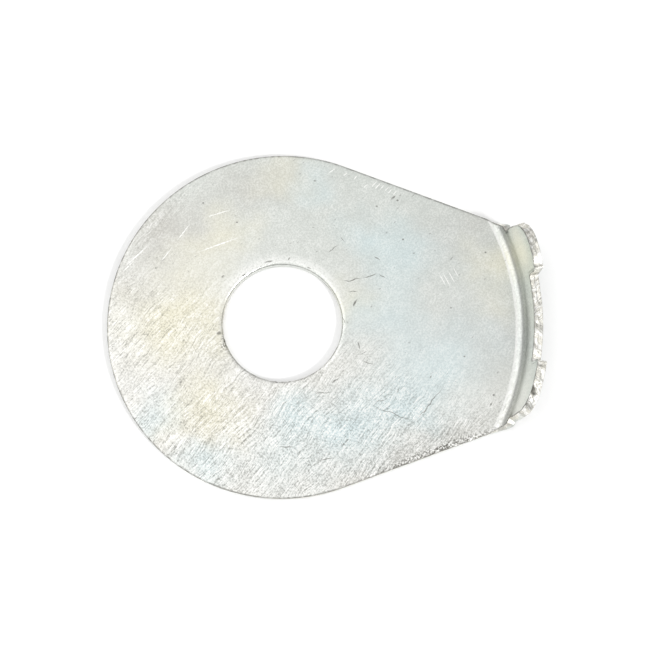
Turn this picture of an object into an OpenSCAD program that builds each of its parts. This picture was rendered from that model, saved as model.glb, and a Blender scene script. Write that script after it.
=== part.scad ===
// Friction washer stamped from sheet steel: a round eye with a plain bore, two straight sides that run
// tangent to the eye, and a lip folded up on an arc about the bore, with a notch between two taller ears.
// The bore's axis is Z, the underside lies on z = 0 and the lip stands on the +X side.

/* [Sheet] */
// Thickness of the sheet
sheet_t = 1.05; // [0.8:0.05:1.6]
// Radius of the edge that the punch draws in on its entry side
edge_roll = 0.25; // [0.1:0.05:0.4]

/* [Eye] */
// Outer diameter of the round eye
eye_d = 38.2; // [34:0.2:42]
// Diameter of the bore
bore_d = 13; // [9:0.5:18]

/* [Plate] */
// Width of the plate where the fold ends
root_w = 22.8; // [21:0.2:25]

/* [Fold] */
// Distance from the bore's axis to the line where the fold begins
fold_reach = 25.5; // [24:0.5:30]
// Inside radius of the fold
fold_r = 1.05; // [0.8:0.05:1.5]
// Width of the shoulder at each end of the fold, by which the lip is set in from the plate's sides
shoulder_w = 0.95; // [0.9:0.05:1.5]
// Radius of the relief nick in each shoulder's corner
relief_r = 0.3; // [0.2:0.05:0.5]

/* [Lip] */
// Angle by which the lip leans outward from upright
lip_lean = 9; // [0:1:15]
// Angle by which the lip's sides slant inward from upright
lip_slant = 9; // [4:1:14]
// Height of the ears above the plate's top face
ear_h = 5.7; // [5:0.1:8]
// Radius of each ear's outer corner
ear_corner_r = 2.6; // [1:0.1:3]
// Radius of each ear's corner beside the notch
ear_tip_r = 0.5; // [0.3:0.1:0.9]

/* [Notch] */
// Width of the notch between the ears
notch_w = 9.2; // [7:0.2:10.6]
// Height of the notch's floor above the plate's top face
notch_h = 3.4; // [2.6:0.1:4]

/* [Hidden] */
$fn = 180;

// Distance by which a cutter runs past what it cuts
over = 1;
// Angle by which the fold is swept past the plate's sides before they trim it
sweep_over = 3;
// Length of flat plate that the fold's sweep takes in, lapping over the taper
fold_lap = 1.5;
// How far below the fold's end the slanted sides start
slant_drop = relief_r / 2;
// Height by which an ear's rounding stands proud of its top, so that the two meet at an angle
proud = 0.02;

eye_r = eye_d / 2;
bore_r = bore_d / 2;
fold_outer_r = fold_r + sheet_t;
// Height of the fold's centre line above the underside
fold_z = sheet_t + fold_r;
// Where the lip's inner wall leaves the fold: radius about the bore, and height
wall_r = fold_reach + fold_r * cos(lip_lean);
wall_z = fold_z - fold_r * sin(lip_lean);
// Lengths up the straight wall to the top of the ears and to the notch's floor
ear_len = (sheet_t + ear_h - wall_z) / cos(lip_lean);
notch_len = (sheet_t + notch_h - wall_z) / cos(lip_lean);
// Directions, seen from the bore, of the lip's sides and of the notch's sides
side_dir = asin((root_w / 2 - shoulder_w) / wall_r);
notch_dir = asin(notch_w / 2 / wall_r);
// Point on the plate's straight side where the fold ends
root_dir = asin(root_w / 2 / wall_r);
root = wall_r * [cos(root_dir), sin(root_dir)];
// Point where that straight side leaves the eye, and its direction from there to the root
tangent_dir = root_dir + acos(eye_r / wall_r);
tangent = eye_r * [cos(tangent_dir), sin(tangent_dir)];
along_side = [sin(tangent_dir), -cos(tangent_dir)];
// Direction, seen from the bore, of the point on that side where the fold begins
fold_dir = tangent_dir - acos(eye_r / fold_reach);
// Height above the underside that clears the lip
clear_z = fold_z + ear_len + over;

// Wedge between the two straight sides, from the bore's axis to past the lip
module side_lines() {
    tip = root + clear_z * along_side;
    polygon([[0, 0], [tangent.x, -tangent.y], [tip.x, -tip.y], tip, tangent]);
}

// What rounding a corner by radius r takes off, where the material lies below and left of [0, 0]
module corner_waste(r) {
    difference() {
        translate([-r, -r]) square(r + over);
        translate([-r, -r]) circle(r = r);
    }
}

// Frame of the leaning wall in the section: x through the wall from the fold's centre, y up the wall
module in_wall() {
    translate([fold_reach, fold_z]) rotate(-lip_lean) children();
}

// Sections of the fold, the wall and the notch, in the plane through the bore's axis
module fold_section() {
    translate([fold_reach - fold_lap, 0]) square([fold_lap, sheet_t]);
    difference() {
        translate([fold_reach, fold_z]) circle(r = fold_outer_r);
        translate([fold_reach, fold_z]) circle(r = fold_r);
        translate([fold_reach - 2 * fold_outer_r, 0]) square([2 * fold_outer_r, 2 * fold_z]);
        in_wall() translate([-2 * fold_outer_r, 0]) square([4 * fold_outer_r, 2 * fold_outer_r]);
    }
}

module wall_section() {
    in_wall() difference() {
        translate([fold_r, 0]) square([sheet_t, ear_len]);
        translate([fold_outer_r, ear_len]) corner_waste(edge_roll);
    }
}

module notch_section() {
    in_wall() {
        translate([fold_r - over, notch_len]) square([sheet_t + 2 * over, ear_len - notch_len + over]);
        translate([fold_outer_r, notch_len]) corner_waste(edge_roll);
    }
}

// Turns a section about the bore's axis, as far to each side of +X as a direction
module sweep(direction) {
    rotate([0, 0, -direction]) rotate_extrude(angle = 2 * direction) children();
}

// Runs a shape drawn on the wall's face, x across and y up, through the wall at a direction from the bore
module through_wall(direction) {
    rotate([0, 0, direction]) translate([fold_reach, 0, fold_z]) rotate([0, lip_lean, 0])
        translate([fold_r - over, 0, 0]) rotate([90, 0, 90])
            linear_extrude(height = sheet_t + 2 * over) children();
}

// What is trimmed off a side of the wall, on its face: all outside the slant, and the ear's outer corner.
// The slant starts inside the relief nick, a little below the fold's end at [0, 0].
module side_waste() {
    far = ear_len + over;
    centre_y = ear_len - ear_corner_r + proud;
    centre = [-(ear_corner_r + (centre_y + slant_drop) * sin(lip_slant)) / cos(lip_slant), centre_y];
    touch = centre + ear_corner_r * [cos(lip_slant), sin(lip_slant)];
    start = [over * tan(lip_slant), -over - slant_drop];
    difference() {
        polygon([start, [far, -over - slant_drop], [far, far], [centre.x, far], centre, touch]);
        translate(centre) circle(r = ear_corner_r);
    }
}

// What rounds an ear's corner beside the notch, on the wall's face; the ear lies at positive x
module tip_waste() {
    difference() {
        translate([-over, ear_len - ear_tip_r + proud]) square([ear_tip_r + over, ear_tip_r + over]);
        translate([ear_tip_r, ear_len - ear_tip_r + proud]) circle(r = ear_tip_r);
    }
}

// The round eye with its bore; the punch draws in the bore's top edge and the eye's lower edge
module eye() {
    rotate_extrude() difference() {
        translate([bore_r, 0]) square([eye_r - bore_r, sheet_t]);
        translate([bore_r, sheet_t]) mirror([1, 0]) corner_waste(edge_roll);
        translate([eye_r, 0]) mirror([0, 1]) corner_waste(edge_roll);
    }
}

// The flat plate from inside the eye out to the line where the fold begins
module taper() {
    linear_extrude(height = sheet_t) difference() {
        intersection() {
            side_lines();
            circle(r = fold_reach);
        }
        circle(r = (bore_r + eye_r) / 2);
    }
}

// The fold, as wide as the plate's sides leave it
module fold() {
    intersection() {
        sweep(fold_dir + sweep_over) fold_section();
        linear_extrude(height = clear_z) side_lines();
    }
}

// The leaning wall of the lip, with its slanted sides, its notch and its two ears
module wall() {
    difference() {
        sweep(side_dir) wall_section();
        sweep(notch_dir) notch_section();
        for (side = [0, 1]) mirror([0, side, 0]) {
            through_wall(side_dir) side_waste();
            through_wall(notch_dir) tip_waste();
        }
    }
}

module washer() {
    color("gainsboro") difference() {
        union() {
            eye();
            taper();
            fold();
            wall();
        }
        for (side = [0, 1]) mirror([0, side, 0]) through_wall(side_dir) circle(r = relief_r);
    }
}

washer();
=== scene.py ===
import math

import bpy
import numpy as np
from mathutils import Matrix, Vector


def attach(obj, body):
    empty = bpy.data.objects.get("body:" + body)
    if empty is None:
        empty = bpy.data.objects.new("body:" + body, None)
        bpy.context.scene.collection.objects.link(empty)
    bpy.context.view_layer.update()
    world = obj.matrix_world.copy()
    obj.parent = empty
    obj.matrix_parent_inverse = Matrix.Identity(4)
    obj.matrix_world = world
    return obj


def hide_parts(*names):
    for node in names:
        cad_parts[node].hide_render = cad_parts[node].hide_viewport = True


bl_info = {
    "name": "Friction washer",
    "version": (1, 0, 0),
    "blender": (4, 5, 0),
    "location": "3D View > Sidebar > Washer",
    "description": "Dresses a stamped friction washer with its cut edges and zinc plate",
    "category": "Object",
}

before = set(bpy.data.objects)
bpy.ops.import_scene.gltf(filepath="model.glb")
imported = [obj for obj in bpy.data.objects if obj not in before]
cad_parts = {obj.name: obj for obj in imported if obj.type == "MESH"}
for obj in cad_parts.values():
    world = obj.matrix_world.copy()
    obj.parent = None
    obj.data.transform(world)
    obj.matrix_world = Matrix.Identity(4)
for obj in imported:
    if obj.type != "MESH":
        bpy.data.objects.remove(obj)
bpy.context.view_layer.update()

MM = 0.001


class WasherSizes(bpy.types.PropertyGroup):
    """Sizes of the stamping, as the solid has them"""

    sheet: bpy.props.FloatProperty(
        name="Sheet", description="Thickness of the sheet", default=1.05 * MM, unit="LENGTH", precision=5
    )
    eye_radius: bpy.props.FloatProperty(
        name="Eye radius", description="Outer radius of the round eye", default=19.1 * MM, unit="LENGTH", precision=5
    )
    bore_radius: bpy.props.FloatProperty(
        name="Bore radius", description="Radius of the bore", default=6.5 * MM, unit="LENGTH", precision=5
    )
    root_width: bpy.props.FloatProperty(
        name="Root width",
        description="Width of the plate where the fold ends",
        default=22.8 * MM,
        unit="LENGTH",
        precision=5,
    )
    fold_reach: bpy.props.FloatProperty(
        name="Fold reach",
        description="Distance from the bore's axis to the start of the fold",
        default=25.5 * MM,
        unit="LENGTH",
        precision=5,
    )
    fold_radius: bpy.props.FloatProperty(
        name="Fold radius", description="Inside radius of the fold", default=1.05 * MM, unit="LENGTH", precision=5
    )
    shoulder: bpy.props.FloatProperty(
        name="Shoulder",
        description="How far the lip is set in from the plate's sides",
        default=0.95 * MM,
        unit="LENGTH",
        precision=5,
    )
    relief: bpy.props.FloatProperty(
        name="Relief", description="Radius of the relief nick", default=0.3 * MM, unit="LENGTH", precision=5
    )
    lean: bpy.props.FloatProperty(
        name="Lean", description="Outward lean of the lip", default=math.radians(9), unit="ROTATION"
    )
    slant: bpy.props.FloatProperty(
        name="Slant", description="Inward slant of the lip's sides", default=math.radians(9), unit="ROTATION"
    )
    ear_height: bpy.props.FloatProperty(
        name="Ear height",
        description="Height of the ears above the plate's top face",
        default=5.7 * MM,
        unit="LENGTH",
        precision=5,
    )
    ear_corner: bpy.props.FloatProperty(
        name="Ear corner", description="Radius of an ear's outer corner", default=2.6 * MM, unit="LENGTH", precision=5
    )
    ear_tip: bpy.props.FloatProperty(
        name="Ear tip",
        description="Radius of an ear's corner by the notch",
        default=0.5 * MM,
        unit="LENGTH",
        precision=5,
    )
    notch_width: bpy.props.FloatProperty(
        name="Notch width",
        description="Width of the notch between the ears",
        default=9.2 * MM,
        unit="LENGTH",
        precision=5,
    )
    notch_height: bpy.props.FloatProperty(
        name="Notch height",
        description="Height of the notch's floor above the plate's top face",
        default=3.4 * MM,
        unit="LENGTH",
        precision=5,
    )
    roll: bpy.props.FloatProperty(
        name="Roll-over",
        description="Radius of the edge that the punch draws in",
        default=0.25 * MM,
        unit="LENGTH",
        precision=5,
    )
    bore_draw: bpy.props.FloatProperty(
        name="Bore draw-in",
        description="Width of the band round the bore that the punch draws down",
        default=0.45 * MM,
        unit="LENGTH",
        precision=5,
    )
    tear: bpy.props.FloatProperty(
        name="Tear",
        description="Depth of the ragged fracture on the lip's cut edges",
        default=0.11 * MM,
        unit="LENGTH",
        precision=5,
    )


class ZincFinish(bpy.types.PropertyGroup):
    """Colours and gloss of the plated steel"""

    zinc: bpy.props.StringProperty(name="Zinc", description="Colour of the bright zinc plate", default="#E8E7E2")
    dull_zinc: bpy.props.StringProperty(name="Dull zinc", description="Colour of the duller side", default="#D3D7D2")
    # Fresh scratches, and also the colour of the painted highlights on the fold's crest, round the bore and on a
    # facet of the upper ear, and of the painted reflection on the ears' inner faces.
    fresh_and_highlight: bpy.props.StringProperty(name="Fresh", description="Colour of fresh scratches", default="#FBFBF8")
    cream: bpy.props.StringProperty(name="Cream", description="Colour of the cream stains", default="#E8E3CB")
    blue: bpy.props.StringProperty(name="Blue", description="Colour of the blue stains", default="#D2E4E7")
    haze: bpy.props.StringProperty(name="Haze", description="Colour of the grey haze", default="#CDD1CF")
    smoke: bpy.props.StringProperty(name="Smoke", description="Colour of the brownish haze", default="#C3C0B9")
    fracture: bpy.props.StringProperty(
        name="Fracture", description="Colour of the torn steel under thin plating", default="#CDCCC5"
    )
    plated_tear: bpy.props.StringProperty(
        name="Plated tear", description="Colour of the torn edge where the plating covers it", default="#E9E7DE"
    )
    pit: bpy.props.StringProperty(name="Pit", description="Colour of dirt in scratches and pits", default="#6E6D67")
    # Dirt, and also the colour of painted shade on the brinks, on the lip's wall by the fold and along the tapering
    # sides.
    grime_and_shade: bpy.props.StringProperty(name="Grime", description="Colour of the dirt along the brims", default="#74736E")
    roughness: bpy.props.FloatProperty(
        name="Roughness", description="Roughness of the plate", default=0.32, min=0.0, max=1.0, subtype="FACTOR"
    )


def wall_foot(sizes):
    """Length along the top face, from the bore's axis, at which the fold ends and the leaning wall starts."""
    return sizes.fold_reach + sizes.fold_radius * (math.pi / 2 - sizes.lean)


def section(sizes, s, depth):
    """Section of the folded sheet, as distance from the bore's axis and height. s is the length along the top
    face from the axis, and depth goes down through the sheet. The section is flat to the fold's start, then an
    arc about the fold's centre whose radius is the fold's plus the depth, then straight up the leaning wall."""
    turn = math.pi / 2 - sizes.lean
    bend = np.clip((s - sizes.fold_reach) / sizes.fold_radius, 0, turn)
    up = np.maximum(s - sizes.fold_reach - sizes.fold_radius * turn, 0)
    out = sizes.fold_radius + depth
    radius = np.minimum(s, sizes.fold_reach) + out * np.sin(bend) + up * math.sin(sizes.lean)
    height = sizes.sheet + sizes.fold_radius - out * np.cos(bend) + up * math.cos(sizes.lean)
    return radius, height


def middle_radius(sizes, s):
    """Distance of the sheet's middle from the bore's axis, at the length s along its top face."""
    return section(sizes, s, sizes.sheet / 2)[0]


def length_at(sizes, radius, most=1.0):
    """Length along the top face at which the sheet's middle is at a radius: the radius itself on the flat, and
    in the bend the arc whose sine is what the radius goes past the fold's start, at most the given sine."""
    middle = sizes.fold_radius + sizes.sheet / 2
    bend = np.arcsin(np.clip((radius - sizes.fold_reach) / middle, 0, most))
    return np.where(radius > sizes.fold_reach, sizes.fold_reach + sizes.fold_radius * bend, radius)


def folded(sizes, s, depth, around):
    """Points of the folded sheet: its section, turned about the bore's axis by around."""
    radius, height = section(sizes, s, depth)
    return np.stack([radius * np.cos(around), radius * np.sin(around), height], axis=-1)


def steps(start, end, spacing, length):
    """Evenly spaced values from start up to, but not including, end."""
    count = max(int(round(length / spacing)), 2)
    return start + (end - start) * np.arange(count) / count


def half_outline(sizes):
    """Cut edge of the sheet from the middle of the notch to the back of the eye, as (s, angle) pairs.
    Each stretch is a line or an arc: notch floor, notch wall, ear tip, ear top, ear corner, slanted side,
    relief nick, shoulder, straight side tangent to the eye, and the eye. Returned after them are the points
    at which the straight side and the ear's top start, and the angle at which the side touches the eye."""
    fine, coarse = 0.06 * MM, 0.26 * MM
    on_floor, on_top = 0.1 * MM, 0.09 * MM
    slant = sizes.slant
    foot = wall_foot(sizes)
    wall_radius = sizes.fold_reach + sizes.fold_radius * math.cos(sizes.lean)
    wall_height = sizes.sheet + sizes.fold_radius - sizes.fold_radius * math.sin(sizes.lean)
    ear = (sizes.sheet + sizes.ear_height - wall_height) / math.cos(sizes.lean)
    floor = (sizes.sheet + sizes.notch_height - wall_height) / math.cos(sizes.lean)
    side = math.asin((sizes.root_width / 2 - sizes.shoulder) / wall_radius)
    notch = math.asin(sizes.notch_width / 2 / wall_radius)
    root = math.asin(sizes.root_width / 2 / wall_radius)
    tangent = root + math.acos(sizes.eye_radius / wall_radius)

    def on_wall(direction, x, y):
        """Points x across and y up the wall's face, from a direction at the fold's end."""
        s = foot + np.asarray(y) + 0 * np.asarray(x)
        return s, direction + np.asarray(x) / middle_radius(sizes, s)

    def arc(direction, centre, radius, start, end):
        """Arc on the wall's face: its centre and radius, and the angles at which it starts and ends."""
        a = steps(start, end, fine, radius * abs(end - start))
        return on_wall(direction, centre[0] + radius * np.cos(a), centre[1] + radius * np.sin(a))

    # The notch, with a small round where its floor meets its wall, and the ear's tip beside it.
    crook = 0.2 * MM
    reach = middle_radius(sizes, foot + floor)
    a = steps(0, notch - crook / reach, on_floor, notch * reach)
    y = steps(floor + crook, ear - sizes.ear_tip, fine, ear - floor)
    parts = [
        (foot + floor + 0 * a, a),
        arc(notch, (-crook, floor + crook), crook, -math.pi / 2, 0),
        on_wall(notch, 0 * y, y),
        arc(notch, (sizes.ear_tip, ear - sizes.ear_tip), sizes.ear_tip, math.pi, math.pi / 2),
    ]

    # The ear's top and outer corner, and the slanted side down to the relief nick.
    drop = sizes.relief / 2
    centre_y = ear - sizes.ear_corner
    centre = (-(sizes.ear_corner + (centre_y + drop) * math.sin(slant)) / math.cos(slant), centre_y)
    reach = middle_radius(sizes, foot + ear)
    first, last = notch + sizes.ear_tip / reach, side + centre[0] / reach
    a = steps(first, last, on_top, (last - first) * reach)
    touch = (centre[1] + sizes.ear_corner * math.sin(slant) + drop) / math.cos(slant)
    nick = drop * math.cos(slant) + math.sqrt(sizes.relief**2 - (drop * math.sin(slant)) ** 2)
    down = steps(touch, nick, fine, touch - nick)
    entry = math.atan2(-drop + nick * math.cos(slant), -nick * math.sin(slant))
    parts += [
        (foot + ear + 0 * a, a),
        arc(side, centre, sizes.ear_corner, math.pi / 2, slant),
        on_wall(side, -down * math.sin(slant), -drop + down * math.cos(slant)),
        arc(side, (0, 0), sizes.relief, entry, 2 * math.pi),
    ]

    # The shoulder, the straight side and the eye.
    corner_radius = middle_radius(sizes, np.array(foot))
    corner = (tangent - math.acos(sizes.eye_radius / corner_radius) - side) * corner_radius
    x = steps(sizes.relief, corner, fine, corner - sizes.relief)
    far = math.sqrt(corner_radius**2 - sizes.eye_radius**2)
    near = math.sqrt(sizes.fold_reach**2 - sizes.eye_radius**2)
    run = np.concatenate([steps(far, near, fine, far - near), steps(near, 0, coarse, near)])
    a = steps(tangent, math.pi, coarse, (math.pi - tangent) * sizes.eye_radius)
    parts += [
        on_wall(side, x, 0 * x),
        (length_at(sizes, np.hypot(run, sizes.eye_radius)), tangent - np.arctan2(run, sizes.eye_radius)),
        (sizes.eye_radius + 0 * a, a),
        ([sizes.eye_radius], [math.pi]),
    ]
    s, around = (np.concatenate([part[k] for part in parts]) for k in range(2))
    starts = np.cumsum([len(part[0]) for part in parts])
    ear_top, nick_start, side_start = starts[3], starts[6], starts[8]

    # Wear rounds the nick and the shoulder: each point moves towards the middle of its neighbours, many times.
    # The margin round the worn stretch and its fade count outline points.
    margin, fade, passes = 16, 8, 90
    count = np.arange(len(s))
    worn = np.clip(np.minimum(count - nick_start + margin, side_start + margin - count) / fade, 0, 1)
    for _ in range(passes):
        for values in (s, around):
            values[1:-1] += 0.5 * worn[1:-1] * ((values[2:] + values[:-2]) / 2 - values[1:-1])
    return s, around, side_start, ear_top, tangent


def closed(values, odd=False):
    """Mirrors a half outline's values to the other side of the washer, so the path closes on itself."""
    mirrored = -values[-2:0:-1] if odd else values[-2:0:-1]
    return np.concatenate([values, mirrored])


def wrapped(angle):
    """The same angle between minus and plus half a turn."""
    return (angle + np.pi) % (2 * np.pi) - np.pi


def inward(sizes, s, around):
    """Unit vectors into the sheet from each point of the closed outline, as (along s, across),
    from the neighbours on both sides and evened out, and the path's length between neighbours."""
    along = np.roll(s, -1) - np.roll(s, 1)
    across = wrapped(np.roll(around, -1) - np.roll(around, 1)) * middle_radius(sizes, s)
    gap = np.hypot(along, across) / 2
    into = np.stack([-across, along]) / gap
    passes = 6
    for _ in range(passes):
        into = into + (np.roll(into, 1, axis=1) + np.roll(into, -1, axis=1) - 2 * into) / 4
    into = into / np.hypot(*into)
    return into[0], into[1], gap


def ragged(seed, u, v):
    """Smooth noise between -1 and 1: random values on a lattice of unit cells, blended with cosine weights."""
    rng = np.random.default_rng(seed)
    u = u - np.floor(u.min())
    v = v - np.floor(v.min())
    lattice = rng.uniform(-1, 1, (int(u.max()) + 3, int(v.max()) + 3))
    i, j = u.astype(int), v.astype(int)
    a, b = (1 - np.cos(np.pi * (u - i))) / 2, (1 - np.cos(np.pi * (v - j))) / 2
    low = lattice[i, j] * (1 - b) + lattice[i, j + 1] * b
    high = lattice[i + 1, j] * (1 - b) + lattice[i + 1, j + 1] * b
    return low * (1 - a) + high * a


def washer_grid(sizes):
    """The washer as one closed grid: a profile carried round its cut edge. The profile runs from the bore
    over the top face to the cut edge, round it, and back along the underside through the bore. Returned are s,
    the angle and the depth of its points, which rows are torn, and what the materials read: the darkening on
    the brims by row, dirt with painted shade, the place along and across the torn edge, and 1 on the lip."""
    t, roll = sizes.sheet, sizes.roll
    half_s, half_around, side_start, ear_top, tangent = half_outline(sizes)
    s, around = closed(half_s), closed(half_around, odd=True)

    # Length along the outline from the notch, and the bore's angles: even over the lip, and the outline's past it.
    middle = middle_radius(sizes, (half_s[1:] + half_s[:-1]) / 2)
    place = np.concatenate([[0], np.cumsum(np.hypot(np.diff(half_s), np.diff(half_around) * middle))])
    even = place / place[side_start] * half_around[side_start]
    spread = closed(np.where(np.arange(len(place)) < side_start, even, half_around), odd=True)
    trail = np.concatenate([place, 2 * place[-1] - place[-2:0:-1]])
    signed = closed(place, odd=True)

    # Spots where the lip's edge is worn in: where along the outline, and how deep and wide in millimetres.
    spots = ((place[ear_top], 0.42, 0.7), (-place[ear_top], 0.1, 0.3), (0.4 * place[ear_top], 0.07, 0.9))
    into_s, into_across, _ = inward(sizes, s, around)
    for where, deep, width in spots:
        worn = deep * MM * np.exp(-(((signed - where) / (width * MM)) ** 2))
        s, around = s + worn * into_s, around + worn * into_across / middle_radius(sizes, s)
    into_s, into_across, gap = inward(sizes, s, around)

    # The band beside the cut edge narrows where the outline bows inwards, so that its rows never cross.
    wide = 0.4 * MM
    angle = np.unwrap(np.arctan2(into_across, into_s))
    bow = np.maximum(wrapped(np.roll(angle, -1) - np.roll(angle, 1)) / (2 * gap), 1e-3)
    away = np.abs(trail[:, None] - trail[None, :])
    away = np.minimum(away, 2 * place[-1] - away)
    inset = np.minimum(wide, (0.5 / bow)[None, :] + 0.5 * away).min(axis=1)

    # 1 on the lip's cut edge, fading to 0 a little before the lip ends. Both numbers count outline points.
    short, blur = 55, 25
    index = np.arange(len(s))
    on_lip = np.minimum(index, len(s) - index) < side_start - short
    lip = np.convolve(np.pad(on_lip.astype(float), blur // 2, mode="wrap"), np.ones(blur) / blur, mode="valid")

    def ring(lip_s, margin, blend):
        """Curve round the bore that stays within lip_s and a margin inside the sides and the eye."""
        radius = (sizes.eye_radius - margin) / np.cos(np.clip(tangent - np.abs(spread), 0, 1.2))
        sides = length_at(sizes, radius, 0.98)
        return (lip_s + sides - np.sqrt((lip_s - sides) ** 2 + blend**2)) / 2

    def torn(depth):
        """How far the fracture eats into the lip's cut edge: broad hollows, slanting ridges across the sheet
        and a fine grain. It fades out at both faces, so that the outline stays."""
        slanting = signed + 0.9 * np.sign(signed) * depth
        broad = ragged(3, signed / (0.7 * MM), depth / (0.5 * MM) + 0 * s)
        ridges = ragged(5, slanting / (0.34 * MM), depth / (0.6 * MM) + 0 * s)
        grain = ragged(8, signed / (0.1 * MM), depth / (0.1 * MM) + 0 * s)
        fade = min(depth / (0.16 * MM), (t - depth) / (0.25 * MM), 1)
        return sizes.tear * lip * max(fade, 0.45) * (1 + 0.75 * broad + 0.4 * ridges + 0.05 * grain)

    def edge(d, depth):
        """Row of the cut edge's profile: d inwards at a depth."""
        d = np.minimum(inset / wide * d + torn(depth) * (1 - d / wide), inset)
        return s + d * into_s, around + d * into_across / middle_radius(sizes, s), depth + 0 * s

    def bore_row(d, depth):
        """Row round the bore: d outwards from its wall at a depth."""
        return sizes.bore_radius + d + 0 * s, spread, depth + 0 * s

    def between(a, b, fractions, depth):
        """Rows at fractions of the way from one row to another, at a depth."""
        return [(a[0] + (b[0] - a[0]) * f, a[1] + (b[1] - a[1]) * f, depth + 0 * s) for f in fractions]

    drawn = sizes.bore_draw + 0.05 * MM
    inner, outer = bore_row(drawn, 0), edge(wide, 0)
    # Two curves that the rows follow, just before the fold and half way round it.
    before_fold = (ring(sizes.fold_reach - 0.15 * MM, 2.4 * MM, 0.8 * MM), spread)
    in_fold = (ring(wall_foot(sizes) - 0.75 * MM, 0.9 * MM, 0.5 * MM), spread)

    def face(depth, on_plate, on_fold, on_wall):
        """Rows of the top face or the underside, from the bore across the plate and the fold to the edge.
        Past the fold they crowd towards it."""
        return (
            between(inner, before_fold, np.linspace(0, 1, on_plate)[1:], depth)
            + between(before_fold, in_fold, np.linspace(0, 1, on_fold)[1:], depth)
            + between(in_fold, outer, np.linspace(0, 1, on_wall)[1:] ** 1.7, depth)
        )

    # The bore's drawn-in top, the top face, the cut edge from its crisp brink to its rolled-over lower side, the
    # underside, and the bore's lower edge and wall.
    quarter = np.linspace(0, math.pi / 2, 7)
    brink, low = 0.07 * MM, 0.06 * MM
    rows = [bore_row(sizes.bore_draw * (1 - math.sin(a)), roll * (1 - math.cos(a))) for a in quarter[::-1]]
    rows.append(inner)
    rows += face(0, 4, 12, 18)
    top_rows = len(rows)
    rows += [edge(brink * (1 - math.sin(a)), brink * (1 - math.cos(a))) for a in quarter[1:]]
    rows += [edge(0, depth) for depth in np.linspace(brink, t - roll, 12)[1:]]
    rows += [edge(roll * (1 - math.cos(a)), t - roll + roll * math.sin(a)) for a in quarter[1:]]
    rows.append(edge(wide, t))
    edge_rows = len(rows)
    rows += face(t, 3, 12, 12)[::-1][1:]
    rows.append(bore_row(drawn, t))
    rows += [bore_row(low * (1 - math.sin(a)), t - low * (1 - math.cos(a))) for a in quarter[::2]]
    rows += [bore_row(0, depth) for depth in np.linspace(t - low, roll, 4)[1:-1]]
    grid_s, grid_around, grid_depth = (np.array([row[k] for row in rows]) for k in range(3))

    # The cut edge is torn from below its brink to above its roll-over. Dirt and painted shade darken the brink and
    # the bore's brim.
    torn_rows = np.zeros(len(rows), dtype=bool)
    torn_rows[top_rows + 2 : edge_rows - 4] = True
    brim = np.zeros(len(rows))
    brim[top_rows : top_rows + 5] = 0.7, 1, 1, 1, 0.6
    brim[1:4] = 0.4, 0.56, 0.4
    # The third number tells the two sides of the washer apart.
    strip = np.stack([np.abs(signed) + 0 * grid_s, grid_depth, 0.4 * grid_s * np.sin(grid_around)], axis=-1)
    return grid_s, grid_around, grid_depth, torn_rows, brim, strip, lip + 0 * grid_s


def grid_faces(rows, columns):
    """Quads of a grid that closes on itself both ways."""
    i, j = np.meshgrid(np.arange(rows), np.arange(columns), indexing="ij")
    i_next, j_next = (i + 1) % rows, (j + 1) % columns
    corners = (i * columns + j, i_next * columns + j, i_next * columns + j_next, i * columns + j_next)
    return np.stack(corners, axis=-1).reshape(-1, 4)


def make_mesh(name, points, quads):
    """Mesh object from arrays of points in metres and of quads."""
    mesh = bpy.data.meshes.new(name)
    mesh.from_pydata(points.reshape(-1, 3), [], quads)
    mesh.shade_smooth()
    mesh.update()
    obj = bpy.data.objects.new(name, mesh)
    bpy.context.scene.collection.objects.link(obj)
    return obj


def point_values(mesh, name, kind, values):
    """Stores one number or one vector per point of a mesh, for its material to read."""
    layer = mesh.attributes.new(name, kind, "POINT")
    field = "vector" if kind == "FLOAT_VECTOR" else "value"
    layer.data.foreach_set(field, np.ascontiguousarray(values, dtype=np.float32).ravel())


def linear(text):
    """sRGB hex value to linear red, green, blue and alpha."""
    parts = np.array([int(text[i : i + 2], 16) for i in (1, 3, 5)]) / 255
    value = np.where(parts <= 0.04045, parts / 12.92, ((parts + 0.055) / 1.055) ** 2.4)
    return (*value.tolist(), 1.0)


# Kinds of node with their settings, for the ones that come up often.
PLUS = "ShaderNodeMath", {"operation": "ADD"}
MINUS = "ShaderNodeMath", {"operation": "SUBTRACT"}
TIMES = "ShaderNodeMath", {"operation": "MULTIPLY"}
CAPPED = "ShaderNodeMath", {"operation": "MULTIPLY", "use_clamp": True}
LARGER = "ShaderNodeMath", {"operation": "MAXIMUM"}
LENGTH = "ShaderNodeVectorMath", {"operation": "LENGTH"}
EASE = "ShaderNodeMapRange", {"interpolation_type": "SMOOTHSTEP"}
TINT = "ShaderNodeMix", {"data_type": "RGBA"}
FRAME = "ShaderNodeMapping", {"vector_type": "TEXTURE"}
NOISE = "ShaderNodeTexNoise", {}


def add(tree, kind, settings, *values, **named):
    """Adds a node. settings are its attributes, values its live inputs in order, and named its inputs by name.
    Each value is a number, an output, or a node that stands for its first live output."""
    node = tree.nodes.new(kind)
    for key, value in settings.items():
        setattr(node, key, value)
    live = [socket for socket in node.inputs if socket.enabled]
    chosen = [node.inputs[key.replace("_", " ")] for key in named]
    for socket, value in (*zip(live, values), *zip(chosen, named.values())):
        if isinstance(value, bpy.types.Node):
            value = next(output for output in value.outputs if output.enabled)
        if isinstance(value, bpy.types.NodeSocket):
            tree.links.new(value, socket)
        else:
            socket.default_value = value
    return node


def joined(tree, operation, values):
    """Several values joined one after the other by the same operation, such as their sum or their product.
    Each value's nodes are added just before it is joined, which saves the renderer's room for a material."""
    values = iter(values)
    result = next(values)
    for value in values:
        result = add(tree, *operation, result, value)
    return result


def new_material(name):
    """Empty node material and its tree."""
    material = bpy.data.materials.new(name)
    material.use_nodes = True
    material.node_tree.nodes.clear()
    return material, material.node_tree


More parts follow.
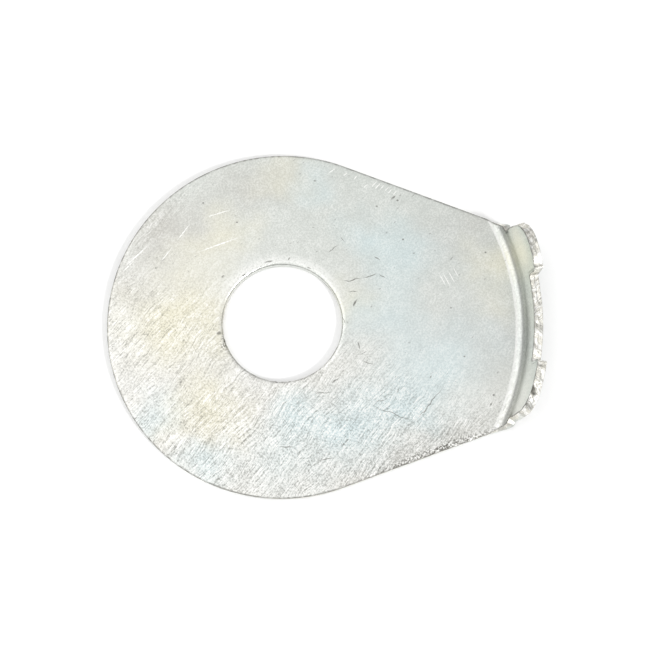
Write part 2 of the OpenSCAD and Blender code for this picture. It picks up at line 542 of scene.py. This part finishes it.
def streaks(tree, place, angle, along, across, detail=1.0, rough=0.6):
    """Noise drawn out along an angle on the plate, in steps of along and across millimetres."""
    steps_xyz = (along * MM, across * MM, 2 * MM)
    turned = add(tree, *FRAME, place, Rotation=(0, 0, math.radians(angle)), Scale=steps_xyz)
    return add(tree, *NOISE, turned, Scale=1.0, Detail=detail, Roughness=rough)


def warped(tree, place, size, amount):
    """Position shifted smoothly by up to about half of amount, over patches of a size, both in millimetres."""
    wander = add(tree, *NOISE, place, Scale=1 / (size * MM), Detail=2.0).outputs["Color"]
    shift = add(tree, "ShaderNodeVectorMath", {"operation": "SUBTRACT"}, wander, (0.5, 0.5, 0.5))
    most = (amount * MM, amount * MM, 0)
    return add(tree, "ShaderNodeVectorMath", {"operation": "MULTIPLY_ADD"}, shift, most, place)


# Height of the plate's top face, in millimetres.
TOP = 1.05


def spot(tree, place, x, y, angle, length, width, core=0.35, z=TOP, height=1.0):
    """1 in the middle of an oval mark, on the plate's top face unless z is given, and 0 outside it.
    Sizes are in millimetres. core is where the mark is full, from 0 in its middle to 1 at its rim."""
    half = (length / 2 * MM, width / 2 * MM, height / 2 * MM)
    oval = add(tree, *FRAME, place, (x * MM, y * MM, z * MM), (0, 0, math.radians(angle)), half)
    return add(tree, *EASE, add(tree, *LENGTH, oval), 1.0, core)


def marks(tree, place, rows):
    """The strongest of several oval marks."""
    return joined(tree, LARGER, (spot(tree, place, *row) for row in rows))


def ring_mark(tree, from_axis, radii, strength):
    """A ring about the bore's axis, from the distance to it: it rises between the first two radii and fades
    between the last two. The radii are in millimetres."""
    start, full, fading, end = (radius * MM for radius in radii)
    rising = add(tree, *EASE, from_axis, start, full)
    return add(tree, *TIMES, rising, add(tree, *EASE, from_axis, end, fading, 0.0, strength))


def tinted(tree, place, rows, colour, finish, core=0.3):
    """A colour with several oval tints of the finish laid over it."""
    for x, y, angle, length, width, z, height, tint, strength in rows:
        share = add(tree, *TIMES, spot(tree, place, x, y, angle, length, width, core, z, height), strength)
        colour = add(tree, *TINT, share, colour, linear(getattr(finish, tint)))
    return colour


# Long marks on the top face: x, y, angle in degrees, length and width, in millimetres. Real scratches are 0.01
# to 0.05 mm wide, which is finer than a pixel. They are drawn 0.12 mm wide or more so that they show.
FRESH_SCRATCHES = (
    (-11.1, 10.1, 55, 2.6, 0.2),
    (-12.9, 7.5, 53, 2.6, 0.17),
    (-7.2, 8.7, 21, 6.2, 0.2),
    (-7.3, 12.3, 18, 3.6, 0.16),
    (-16.2, 7.3, 45, 3.8, 0.22),
    (-17.0, 6.2, 47, 2.4, 0.18),
    (17.5, 5.0, -62, 2.0, 0.14),
    (18.0, 4.9, -62, 2.2, 0.13),
    (18.5, 5.3, -62, 2.0, 0.14),
    (19.0, 5.8, -62, 1.5, 0.13),
    (10.0, 15.85, 48, 1.2, 0.17),
    (10.4, 15.65, 48, 1.3, 0.18),
    (10.9, 15.5, 50, 1.2, 0.17),
    (11.4, 15.3, 48, 1.1, 0.17),
    (11.8, 15.1, 50, 1.0, 0.16),
    (12.3, 14.85, 48, 0.9, 0.15),
    (9.0, 15.6, 44, 1.0, 0.13),
    (7.9, 16.6, 50, 0.7, 0.16),
    (6.8, 17.0, 40, 0.8, 0.15),
    (5.3, 17.4, 35, 1.2, 0.16),
    (-15.2, -3.0, 50, 2.6, 0.16),
    (-12.0, -9.6, 50, 3.2, 0.16),
    (-6.0, -13.4, 48, 2.8, 0.15),
)
DARK_SCRATCHES = (
    (7.6, 4.9, 4, 2.4, 0.2),
    (9.6, 5.3, 16, 2.2, 0.18),
    (10.9, 5.3, -40, 0.8, 0.16),
    (8.0, 2.2, 58, 1.1, 0.3),
    (5.9, -6.3, 35, 1.2, 0.2),
    (8.4, -2.4, -60, 0.9, 0.2),
    (12.1, -9.9, -20, 5.8, 0.13),
    (16.0, -8.8, 50, 6.0, 0.12),
    (4.6, -7.7, 8, 2.4, 0.14),
    (0.7, -13.6, 0, 1.8, 0.2),
    (-6.8, -1.2, 20, 0.8, 0.45),
    (-0.6, -6.55, -40, 0.8, 0.2),
    (12.1, 14.3, 45, 0.9, 0.24),
    (24.0, 11.9, -18, 2.6, 0.14),
    (5.0, -14.9, 12, 2.6, 0.14),
    (7.6, 3.6, 8, 1.4, 0.13),
    (6.7, 0.4, -70, 0.9, 0.12),
    (8.9, -3.2, 25, 0.9, 0.13),
    (9.4, -4.4, -15, 1.7, 0.14),
    (5.4, 8.4, 40, 1.3, 0.12),
    (6.6, 9.6, 120, 0.9, 0.12),
    (10.2, 7.4, -30, 1.0, 0.12),
    (12.6, -7.4, 60, 1.0, 0.12),
    (10.6, -8.6, 10, 1.2, 0.12),
    (16.2, -5.9, 75, 0.7, 0.12),
    (-1.6, 6.75, 8, 1.2, 0.2),
    (0.6, 7.1, 50, 0.5, 0.26),
    (-4.3, 5.3, 38, 0.8, 0.2),
    (2.9, 6.15, -24, 0.9, 0.18),
)
# Pits and spots of dirt, as the marks above.
PITS = (
    (10.3, 13.3, 0, 0.3, 0.26),
    (12.6, 14.0, 0, 0.34, 0.3),
    (22.9, -7.8, 0, 0.36, 0.3),
    (22.6, -8.8, 60, 0.5, 0.28),
    (13.2, 9.5, 0, 0.32, 0.28),
    (22.3, 8.1, 0, 0.32, 0.26),
    (18.4, 1.8, 0, 0.3, 0.24),
    (-6.6, 5.1, 35, 0.5, 0.3),
    (-5.2, 11.3, 0, 0.3, 0.26),
    (-14.0, 6.0, 0, 0.3, 0.26),
    (-9.0, 13.5, 0, 0.3, 0.26),
    (3.4, 16.2, 0, 0.4, 0.24),
    (19.8, -3.6, 0, 0.3, 0.24),
)
# Faint stains of the passivation: x, y, radius in millimetres, then which tint and how strong.
STAINS = (
    (-13.0, 10.5, 9.5, "smoke", 0.75),
    (-4.0, 16.0, 8.0, "smoke", 0.5),
    (20.0, 12.0, 6.0, "smoke", 0.4),
    (-17.5, 4.0, 5.0, "smoke", 0.45),
    (17.0, 8.5, 7.0, "haze", 0.45),
    (16.5, -1.0, 9.5, "haze", 0.35),
    (22.5, -1.0, 8.0, "haze", 0.65),
    (-11.0, 0.5, 10.0, "cream", 0.9),
    (-8.3, -10.0, 7.0, "cream", 0.8),
    (-6.0, 10.6, 4.6, "cream", 0.5),
    (-8.2, 8.2, 4.8, "cream", 0.4),
    (-0.6, 16.8, 4.4, "cream", 0.35),
    (22.8, 7.0, 5.5, "cream", 0.55),
    (22.9, 1.5, 4.5, "cream", 0.3),
    (7.2, 2.0, 4.5, "cream", 0.4),
    (9.3, 10.2, 5.0, "blue", 0.55),
    (12.6, 7.0, 6.5, "blue", 0.55),
    (11.5, 1.0, 6.5, "blue", 0.5),
    (16.5, -4.6, 9.0, "blue", 0.6),
    (7.4, -11.5, 7.5, "blue", 0.8),
    (13.9, -8.9, 5.5, "blue", 0.6),
    (2.0, -10.4, 5.0, "blue", 0.6),
    (-7.8, -15.7, 4.5, "blue", 0.6),
    (-14.0, -10.4, 4.5, "blue", 0.5),
    (0.5, -14.0, 8.0, "blue", 0.4),
    (12.0, -10.0, 8.0, "blue", 0.4),
    (3.9, 15.6, 4.0, "blue", 0.35),
)
# Scuffed bands along the lower side and a patch beside the bore, as the marks above.
SCUFFS = (
    (17.0, -14.4, 20.8, 22.0, 2.6),
    (23.0, -12.2, 20.8, 8.0, 1.6),
    (-5.9, -1.6, 70, 4.0, 1.6),
)
# Tints on the fold, the tapering sides and the lip's faces: x, y, angle, length, width, z, height, tint and strength.
# The first three rows are painted shade: the dark lower part of the lip's wall by the fold, a shaded band along
# the lower tapering side and a dark band along the upper one. The next two are a painted reflection that lightens
# the ears' inner faces, and the last is a cream stain.
LIP_MARKS = (
    (26.4, -2.5, 90, 15.0, 2.3, 2.2, 3.2, "grime_and_shade", 0.24),
    (15.5, -13.5, 20.8, 26.0, 4.4, 1.05, 3.0, "grime_and_shade", 0.17),
    (16.5, 15.15, -20.8, 24.0, 1.5, 1.05, 3.0, "grime_and_shade", 0.4),
    (25.1, 8.5, 108, 9.0, 1.8, 5.0, 6.5, "fresh_and_highlight", 0.9),
    (25.1, -8.5, 72, 9.0, 1.8, 5.0, 6.5, "fresh_and_highlight", 0.6),
    (25.2, 8.2, 108, 7.0, 1.8, 4.5, 6.5, "cream", 0.35),
)
# Marks on the torn edges of the ears, in the same order. The first is a painted highlight on a facet of the upper
# ear's top, and the last is a spot of painted shade at the lower end of the fold. The others are dirt, pits and a
# brownish haze.
EDGE_MARKS = (
    (27.35, 6.2, 78, 2.0, 1.0, 6.5, 1.6, "fresh_and_highlight", 1.0),
    (26.7, 9.3, 70, 3.6, 1.6, 6.4, 1.6, "smoke", 0.6),
    (26.2, -8.1, -72, 2.2, 0.9, 6.5, 1.5, "pit", 1.0),
    (25.6, -9.6, -68, 1.2, 0.6, 6.3, 1.4, "grime_and_shade", 0.8),
    (27.3, 3.9, 20, 1.3, 0.5, 4.6, 1.0, "grime_and_shade", 0.6),
    (25.6, -11.2, 40, 0.9, 0.3, 1.9, 1.0, "grime_and_shade", 0.8),
)


def metal(tree, colour, roughness, height):
    """Ends a material's tree in a bare metal with a fine relief."""
    bump = add(tree, "ShaderNodeBump", {}, Strength=0.35, Distance=0.02 * MM, Height=height)
    inputs = {"Base_Color": colour, "Metallic": 1.0, "Roughness": roughness, "Normal": bump}
    shader = add(tree, "ShaderNodeBsdfPrincipled", {}, **inputs)
    add(tree, "ShaderNodeOutputMaterial", {}, Surface=shader)


def zinc_material(finish):
    """Bright zinc plate on cold-rolled steel, passivated clear: a silvery mirror dulled by handling. Tumbling
    has scratched it all over, most towards one side, and the thin passivation leaves faint cream and blue
    stains. Painted shade lies on the fold's wall, along the tapering sides and on the brims, and painted
    highlights lie on the fold's crest and round the bore."""
    material, tree = new_material("bright_zinc_plate")
    place = add(tree, "ShaderNodeTexCoord", {}).outputs["Object"]
    fresh_and_highlight, pit = linear(finish.fresh_and_highlight), linear(finish.pit)

    # Where tumbling has worked the face most: towards one corner with a patchy border, and at the eye's rim.
    corner = add(tree, "ShaderNodeVectorMath", {"operation": "DOT_PRODUCT"}, place, (-0.38, -0.925, 0))
    cloud = streaks(tree, place, 20, 7.0, 5.0, detail=3.0)
    reach = add(tree, *PLUS, corner, add(tree, *TIMES, add(tree, *MINUS, cloud, 0.5), 14 * MM))
    axes = add(tree, "ShaderNodeSeparateXYZ", {}, place).outputs
    from_axis = add(tree, *LENGTH, place)
    rim = add(tree, *EASE, from_axis, 15.0 * MM, 18.4 * MM, 0.0, 0.5)
    rim = add(tree, *TIMES, rim, add(tree, *EASE, axes["X"], -7 * MM, -14 * MM))
    worn = add(tree, *LARGER, add(tree, *EASE, reach, -5 * MM, 7 * MM), rim)
    brighter = add(tree, *EASE, corner, -15 * MM, 11 * MM)

    # The plate is duller away from that corner. Its stains are slightly flat ovals with wandering borders.
    drift = warped(tree, place, 5.0, 7.0)
    colour = add(tree, *TINT, brighter, linear(finish.dull_zinc), linear(finish.zinc))
    stains = ((x, y, 0, 2 * radius, 1.8 * radius, TOP, 8.0, *tint) for x, y, radius, *tint in STAINS)
    colour = tinted(tree, drift, stains, colour, finish, core=-0.1)
    # Painted shade on the fold's wall and the tapering sides, a painted reflection on the ears' inner faces, and a
    # cream stain.
    colour = tinted(tree, place, LIP_MARKS, colour, finish)

    # Painted highlight: a bright band on the fold's crest, where the top face starts to turn up.
    fold_highlight = ring_mark(tree, from_axis, (25.38, 25.52, 25.56, 25.8), 0.7)
    fold_highlight = add(tree, *TIMES, fold_highlight, add(tree, *EASE, axes["Z"], 0.7 * MM, 0.9 * MM))
    colour = add(tree, *TINT, fold_highlight, colour, fresh_and_highlight)

    # Fine handling scratches, in families of long thin noise that wander a little. Real ones are 0.01 to 0.05 mm
    # wide, which is finer than a pixel. They are drawn about 0.1 mm wide so that they show.
    sway = warped(tree, place, 4.0, 1.6)
    first = streaks(tree, sway, 50, 2.0, 0.1)
    second = streaks(tree, sway, 58, 1.3, 0.13)
    third = streaks(tree, sway, 121, 1.2, 0.1)
    fourth = streaks(tree, sway, 6, 1.6, 0.11)
    speckle = add(tree, *NOISE, place, Scale=1 / (0.2 * MM), Detail=2.0, Roughness=0.7)
    pebble = add(tree, *NOISE, sway, Scale=1 / (0.6 * MM), Detail=2.0, Roughness=0.6)
    clumps = add(tree, *NOISE, place, Scale=1 / (1.9 * MM), Detail=2.0, Roughness=0.6)

    def eased_sum(*rows):
        """Sum of several noises. Each row is a noise, the two of its values between which it eases, and the
        levels that it eases from and to: below 0 darkens the plate, and above 0 lightens it."""
        return joined(tree, PLUS, (add(tree, *EASE, *row) for row in rows))

    # Each family waves softly, and has sparse dark and light lines where its noise is far from the middle.
    lines = eased_sum(
        (first, 0.34, 0.66, -0.55, 0.55),
        (second, 0.36, 0.64, -0.35, 0.35),
        (first, 0.4, 0.33, 0.0, -0.65),
        (first, 0.6, 0.68, 0.0, 0.5),
        (second, 0.4, 0.33, 0.0, -0.5),
        (third, 0.39, 0.32, 0.0, -0.65),
        (third, 0.62, 0.7, 0.0, 0.5),
        (fourth, 0.37, 0.3, 0.0, -0.65),
        (fourth, 0.64, 0.72, 0.0, 0.5),
    )
    lines = add(tree, *PLUS, lines, -0.08)
    lines = add(tree, *TIMES, lines, add(tree, *EASE, clumps, 0.36, 0.58, 0.55, 1.1))
    grain = eased_sum(
        (speckle, 0.34, 0.66, -0.8, 0.8),
        (clumps, 0.36, 0.64, -0.2, 0.2),
        (pebble, 0.38, 0.28, 0.0, -0.5),
    )
    scuff = marks(tree, place, SCUFFS)
    scratched = add(tree, *TIMES, lines, add(tree, *EASE, worn, 0.0, 1.0, 0.08, 0.93))
    mottled = add(tree, *TIMES, grain, add(tree, *EASE, worn, 0.0, 1.0, 0.43, 1.05))
    harsh = add(tree, *TIMES, add(tree, *EASE, speckle, 0.42, 0.58, -1.0, 1.0), 1.9)
    scuffed = add(tree, *TIMES, add(tree, *MINUS, harsh, 0.8), scuff)
    texture = joined(tree, PLUS, (scratched, mottled, scuffed))

    # The texture lightens the plate where it is above 0 and darkens it where it is below, less on some sides.
    lighter = add(tree, *CAPPED, texture, add(tree, *EASE, axes["X"], -16 * MM, -2 * MM, 0.5, 0.74))
    darker = add(tree, *CAPPED, texture, add(tree, *EASE, axes["Y"], -6 * MM, -15 * MM, -0.26, -0.35))
    colour = add(tree, *TINT, lighter, colour, fresh_and_highlight)
    colour = add(tree, *TINT, darker, colour, pit)

    # Single scratches, pits and specks, and a painted highlight: a bright ring round the bore's upper half.
    scratches = marks(tree, place, FRESH_SCRATCHES)
    crooked = warped(tree, place, 1.3, 0.8)
    dirt = add(tree, *LARGER, marks(tree, crooked, DARK_SCRATCHES), marks(tree, place, PITS))
    specks = streaks(tree, place, 35, 0.6, 0.28, rough=0.5)
    colour = add(tree, *TINT, add(tree, *EASE, specks, 0.27, 0.2, 0.0, 0.4), colour, pit)
    broken = add(tree, *EASE, speckle, 0.3, 0.55, 0.35, 1.0)
    bore_highlight = ring_mark(tree, from_axis, (6.75, 6.95, 6.95, 8.1), 0.62)
    bore_highlight = add(tree, *TIMES, bore_highlight, add(tree, *EASE, axes["Y"], 0.5 * MM, 5 * MM))
    colour = add(tree, *TINT, add(tree, *TIMES, bore_highlight, broken), colour, fresh_and_highlight)
    colour = add(tree, *TINT, add(tree, *TIMES, scratches, broken), colour, fresh_and_highlight)
    colour = add(tree, *TINT, joined(tree, TIMES, (dirt, broken, 0.85)), colour, pit)

    # Painted shade with some dirt: a dark line along the brink of the cut edge and round the bore's brim, broken up
    # by noise.
    brim = add(tree, "ShaderNodeAttribute", {"attribute_name": "brim"}).outputs["Fac"]
    grime_and_shade = add(tree, *EASE, brim, 0.3, 0.8)
    grime_and_shade = add(tree, *TIMES, grime_and_shade, add(tree, *EASE, pebble, 0.38, 0.6, 1.0, 0.45))
    colour = add(tree, *TINT, grime_and_shade, colour, linear(finish.grime_and_shade))

    # The relief leaves the marks out: a height is worked out three times over, and their many nodes would
    # overrun the renderer's room for one material.
    roughness = add(tree, *EASE, texture, -1.2, 1.2, finish.roughness + 0.05, finish.roughness - 0.05)
    metal(tree, colour, roughness, add(tree, *TIMES, add(tree, *PLUS, lines, grain), 0.5))
    return material


def torn_material(finish):
    """Sheared and torn steel of the cut edges, plated with the rest: mottled and rougher, with streaks across
    the sheet, cracks, and dirt in the hollows. Painted shade darkens the brink, and a painted highlight and a
    spot of painted shade lie on the ears' edges."""
    material, tree = new_material("torn_zinc_plated_edge")
    place = add(tree, "ShaderNodeTexCoord", {}).outputs["Object"]
    strip = add(tree, "ShaderNodeAttribute", {"attribute_name": "strip"}).outputs["Vector"]
    brim = add(tree, "ShaderNodeAttribute", {"attribute_name": "brim"}).outputs["Fac"]
    crooked = warped(tree, strip, 0.7, 0.9)
    crooked_place = warped(tree, place, 0.5, 0.5)
    strokes = streaks(tree, crooked, 58, 1.5, 0.26, rough=0.5)
    blotch = add(tree, *NOISE, crooked, Scale=1 / (1.1 * MM), Detail=2.0)
    fresh_and_highlight, pit = linear(finish.fresh_and_highlight), linear(finish.pit)

    # The lip's edges are torn all through. The eye and the sides are cut cleaner, with a burnished lower band.
    lip = add(tree, "ShaderNodeAttribute", {"attribute_name": "lip"}).outputs["Fac"]
    depth = add(tree, "ShaderNodeSeparateXYZ", {}, crooked).outputs["Y"]
    wild = add(tree, *EASE, lip, 0.0, 1.0, 0.4, 0.85)
    burnished = add(tree, *EASE, depth, 0.55 * MM, 0.62 * MM, 0.0, 0.75)
    burnished = add(tree, *TIMES, burnished, add(tree, *EASE, lip, 1.0, 0.0))

    # Dark and light strokes, and cracks where the strokes' noise crosses a value near its middle. Each row has
    # the noise, where its values start and end the mark, and how strong it is.
    plated = add(tree, *EASE, blotch, 0.36, 0.56)
    colour = add(tree, *TINT, plated, linear(finish.fracture), linear(finish.plated_tear))
    crack = add(tree, "ShaderNodeMath", {"operation": "ABSOLUTE"}, add(tree, *MINUS, strokes, 0.49))
    for noise, start, end, strength, tint in (
        (strokes, 0.4, 0.3, 0.45, pit),
        (strokes, 0.5, 0.6, 0.9, fresh_and_highlight),
        (crack, 0.03, 0.005, 0.6, pit),
    ):
        share = add(tree, *TIMES, add(tree, *EASE, noise, start, end, 0.0, strength), wild)
        colour = add(tree, *TINT, share, colour, tint)

    colour = add(tree, *TINT, burnished, colour, linear(finish.dull_zinc))
    # Dirt, pits and haze on the ears' torn edges, with one painted highlight and one spot of painted shade.
    colour = tinted(tree, crooked_place, EDGE_MARKS, colour, finish)
    # Painted shade with some dirt on the brink rows of the cut edge.
    colour = add(tree, *TINT, add(tree, *EASE, brim, 0.3, 0.8, 0.0, 0.8), colour, linear(finish.grime_and_shade))
    height = add(tree, *TIMES, add(tree, *PLUS, strokes, blotch), 0.8)
    metal(tree, colour, add(tree, *EASE, strokes, 0.3, 0.7, 0.55, 0.38), height)
    return material


def paper_material():
    """Matt white paper. Seen directly or mirrored it is a little brighter, but it lights nothing more."""
    material, tree = new_material("white_paper")
    path = add(tree, "ShaderNodeLightPath", {}).outputs
    rays = ("Is Camera Ray", "Is Glossy Ray", "Is Transmission Ray")
    seen = joined(tree, LARGER, (path[ray] for ray in rays))
    paper = add(tree, "ShaderNodeBsdfDiffuse", {}, Color=(0.9, 0.9, 0.9, 1))
    glow = add(tree, "ShaderNodeEmission", {}, Color=(1, 1, 1, 1), Strength=add(tree, *TIMES, seen, 0.05))
    add(tree, "ShaderNodeOutputMaterial", {}, Surface=add(tree, "ShaderNodeAddShader", {}, paper, glow))
    return material


def white_room():
    """World that the metal mirrors: brighter towards -X and overhead, dimmer near the floor. The camera sees
    plain white."""
    world = bpy.data.worlds.new("white_room")
    world.use_nodes = True
    tree = world.node_tree
    tree.nodes.clear()
    path = add(tree, "ShaderNodeLightPath", {}).outputs
    seen = add(tree, *LARGER, path["Is Camera Ray"], path["Is Transmission Ray"])
    view = add(tree, "ShaderNodeTexCoord", {}).outputs["Generated"]
    axes = add(tree, "ShaderNodeSeparateXYZ", {}, view).outputs
    side = add(tree, *EASE, axes["X"], 0.25, -0.55, 0.9, 1.35)
    side = add(tree, *PLUS, side, add(tree, *EASE, axes["X"], -0.13, -0.34, 0.0, 0.2))
    overhead = add(tree, *EASE, axes["Z"], 0.28, 0.66, 0.3, 1.0)
    room = add(tree, *TIMES, side, overhead)
    level = add(tree, "ShaderNodeMix", {"data_type": "FLOAT"}, seen, room, 1.0)
    back = add(tree, "ShaderNodeBackground", {}, Color=(1, 1, 1, 1), Strength=level)
    add(tree, "ShaderNodeOutputWorld", {}, Surface=back)
    return world


def place_object(name, data, rotation):
    """Adds a lamp or a camera to the scene, turned by a quaternion."""
    obj = bpy.data.objects.new(name, data)
    bpy.context.scene.collection.objects.link(obj)
    obj.rotation_mode = "QUATERNION"
    obj.rotation_quaternion = rotation
    return obj


class OBJECT_OT_dress_washer(bpy.types.Operator):
    """Build the washer's skin with its drawn-in and torn edges, in place of the plain solid"""

    bl_idname = "object.dress_washer"
    bl_label = "Dress washer"

    def execute(self, context):
        sizes, finish = context.scene.washer_sizes, context.scene.zinc_finish
        s, around, depth, torn_rows, brim, strip, lip = washer_grid(sizes)
        rows, columns = s.shape
        skin = make_mesh("washer_skin", folded(sizes, s, depth, around), grid_faces(rows, columns))
        point_values(skin.data, "brim", "FLOAT", np.repeat(brim, columns))
        point_values(skin.data, "lip", "FLOAT", lip)
        point_values(skin.data, "strip", "FLOAT_VECTOR", strip)
        skin.data.materials.append(zinc_material(finish))
        skin.data.materials.append(torn_material(finish))
        skin.data.polygons.foreach_set("material_index", np.repeat(torn_rows.astype(np.int32), columns))
        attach(skin, "root")
        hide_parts("washer")
        return {"FINISHED"}


class OBJECT_OT_washer_stage(bpy.types.Operator):
    """Lay the pale floor and place the lamp, the world and the camera"""

    bl_idname = "object.washer_stage"
    bl_label = "Set the stage"

    def execute(self, context):
        scene = context.scene

        # The floor lies a hair below the washer, so that the two faces never fall together.
        corners = np.array([[-1, -1, 0], [1, -1, 0], [1, 1, 0], [-1, 1, 0]], dtype=float)
        floor = make_mesh("floor", corners - [0, 0, 0.01 * MM], np.array([[0, 1, 2, 3]]))
        floor.data.materials.append(paper_material())
        scene.world = white_room()

        # A large soft window from the right and the near side.
        light = bpy.data.lights.new("window", "SUN")
        light.energy = 1.15
        light.angle = math.radians(10)
        place_object("window", light, Vector((1.0, -0.72, 1.25)).to_track_quat("Z", "Y"))

        # The camera stands over the middle of the picture, tilted towards -Y and rolled a little.
        tilt, roll, distance = math.radians(12), math.radians(0.5), 139.7 * MM
        target = Vector((4.66 * MM, -0.25 * MM, 1.05 * MM))
        camera = bpy.data.cameras.new("camera")
        camera.sensor_width = 36
        camera.lens = 71.0
        camera.clip_start = 5 * MM
        right, back_to = Vector((1, 0, 0)), Vector((0, -math.sin(tilt), math.cos(tilt)))
        level = Matrix((right, back_to.cross(right), back_to)).transposed()
        aim = Matrix.Rotation(roll, 3, back_to) @ level
        eye = place_object("camera", camera, aim.to_quaternion())
        eye.location = target + distance * back_to
        scene.camera = eye
        scene.view_settings.view_transform = "Standard"
        return {"FINISHED"}


class VIEW3D_PT_washer(bpy.types.Panel):
    """Buttons for the washer's pieces and stage"""

    bl_label = "Friction washer"
    bl_space_type = "VIEW_3D"
    bl_region_type = "UI"
    bl_category = "Washer"

    def draw(self, context):
        for operator in OPERATORS:
            self.layout.operator(operator.bl_idname)


OPERATORS = (OBJECT_OT_dress_washer, OBJECT_OT_washer_stage)
CLASSES = (WasherSizes, ZincFinish, *OPERATORS, VIEW3D_PT_washer)


def register():
    for each in CLASSES:
        bpy.utils.register_class(each)
    bpy.types.Scene.washer_sizes = bpy.props.PointerProperty(type=WasherSizes)
    bpy.types.Scene.zinc_finish = bpy.props.PointerProperty(type=ZincFinish)


def unregister():
    del bpy.types.Scene.zinc_finish
    del bpy.types.Scene.washer_sizes
    for each in reversed(CLASSES):
        bpy.utils.unregister_class(each)


def main():
    register()
    bpy.ops.object.dress_washer()
    bpy.ops.object.washer_stage()


if __name__ == "__main__":
    main()
